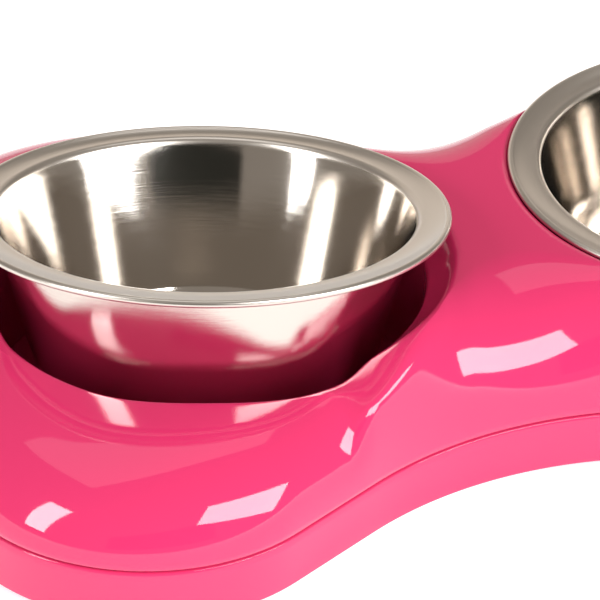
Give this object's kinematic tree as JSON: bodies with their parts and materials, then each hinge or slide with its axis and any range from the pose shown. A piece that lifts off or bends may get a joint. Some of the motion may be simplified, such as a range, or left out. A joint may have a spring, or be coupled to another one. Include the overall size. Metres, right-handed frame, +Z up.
{
  "type": "double pet bowl",
  "caption": "Bone-shaped gloss plastic stand with rounded sides and a front finger scoop at each end, carrying removable rimmed steel bowls, one tipped up for lifting out.",
  "frame": {"origin": "on the floor under the middle of the stand", "axes": "+X along the stand from the left bowl to the right bowl, +Y from the front to the back, +Z up"},
  "size_m": [0.408, 0.2378, 0.0961],
  "materials": {
    "shell_top": "high-gloss moulded pink plastic",
    "shell_base": "high-gloss moulded pink plastic",
    "bowl_steel": "drawn stainless steel, polished inside, satin on the rim",
    "foot_rubber": "plain black rubber",
    "screw_steel": "zinc-plated steel"
  },
  "bodies": {
    "stand": {"upper_shell": "shell_top", "lower_shell": "shell_base", "foot_front_left": "foot_rubber", "foot_front_right": "foot_rubber", "foot_back_left": "foot_rubber", "foot_back_right": "foot_rubber", "screws": "screw_steel"},
    "left_bowl": {"left_bowl": "bowl_steel"},
    "right_bowl": {"right_bowl": "bowl_steel"}
  },
  "joints": [
    {"name": "left_bowl_tip", "type": "hinge", "parent": "stand", "child": "left_bowl", "pos_m": [-0.07308, 0.07819, 0.0647], "axis": [-0.9455, 0.3256, 0], "range_deg": [-10.5, 60]},
    {"name": "right_bowl_lift", "type": "slide", "parent": "stand", "child": "right_bowl", "axis": [0, 0, 1], "range_m": [0, 0.09]}
  ]
}
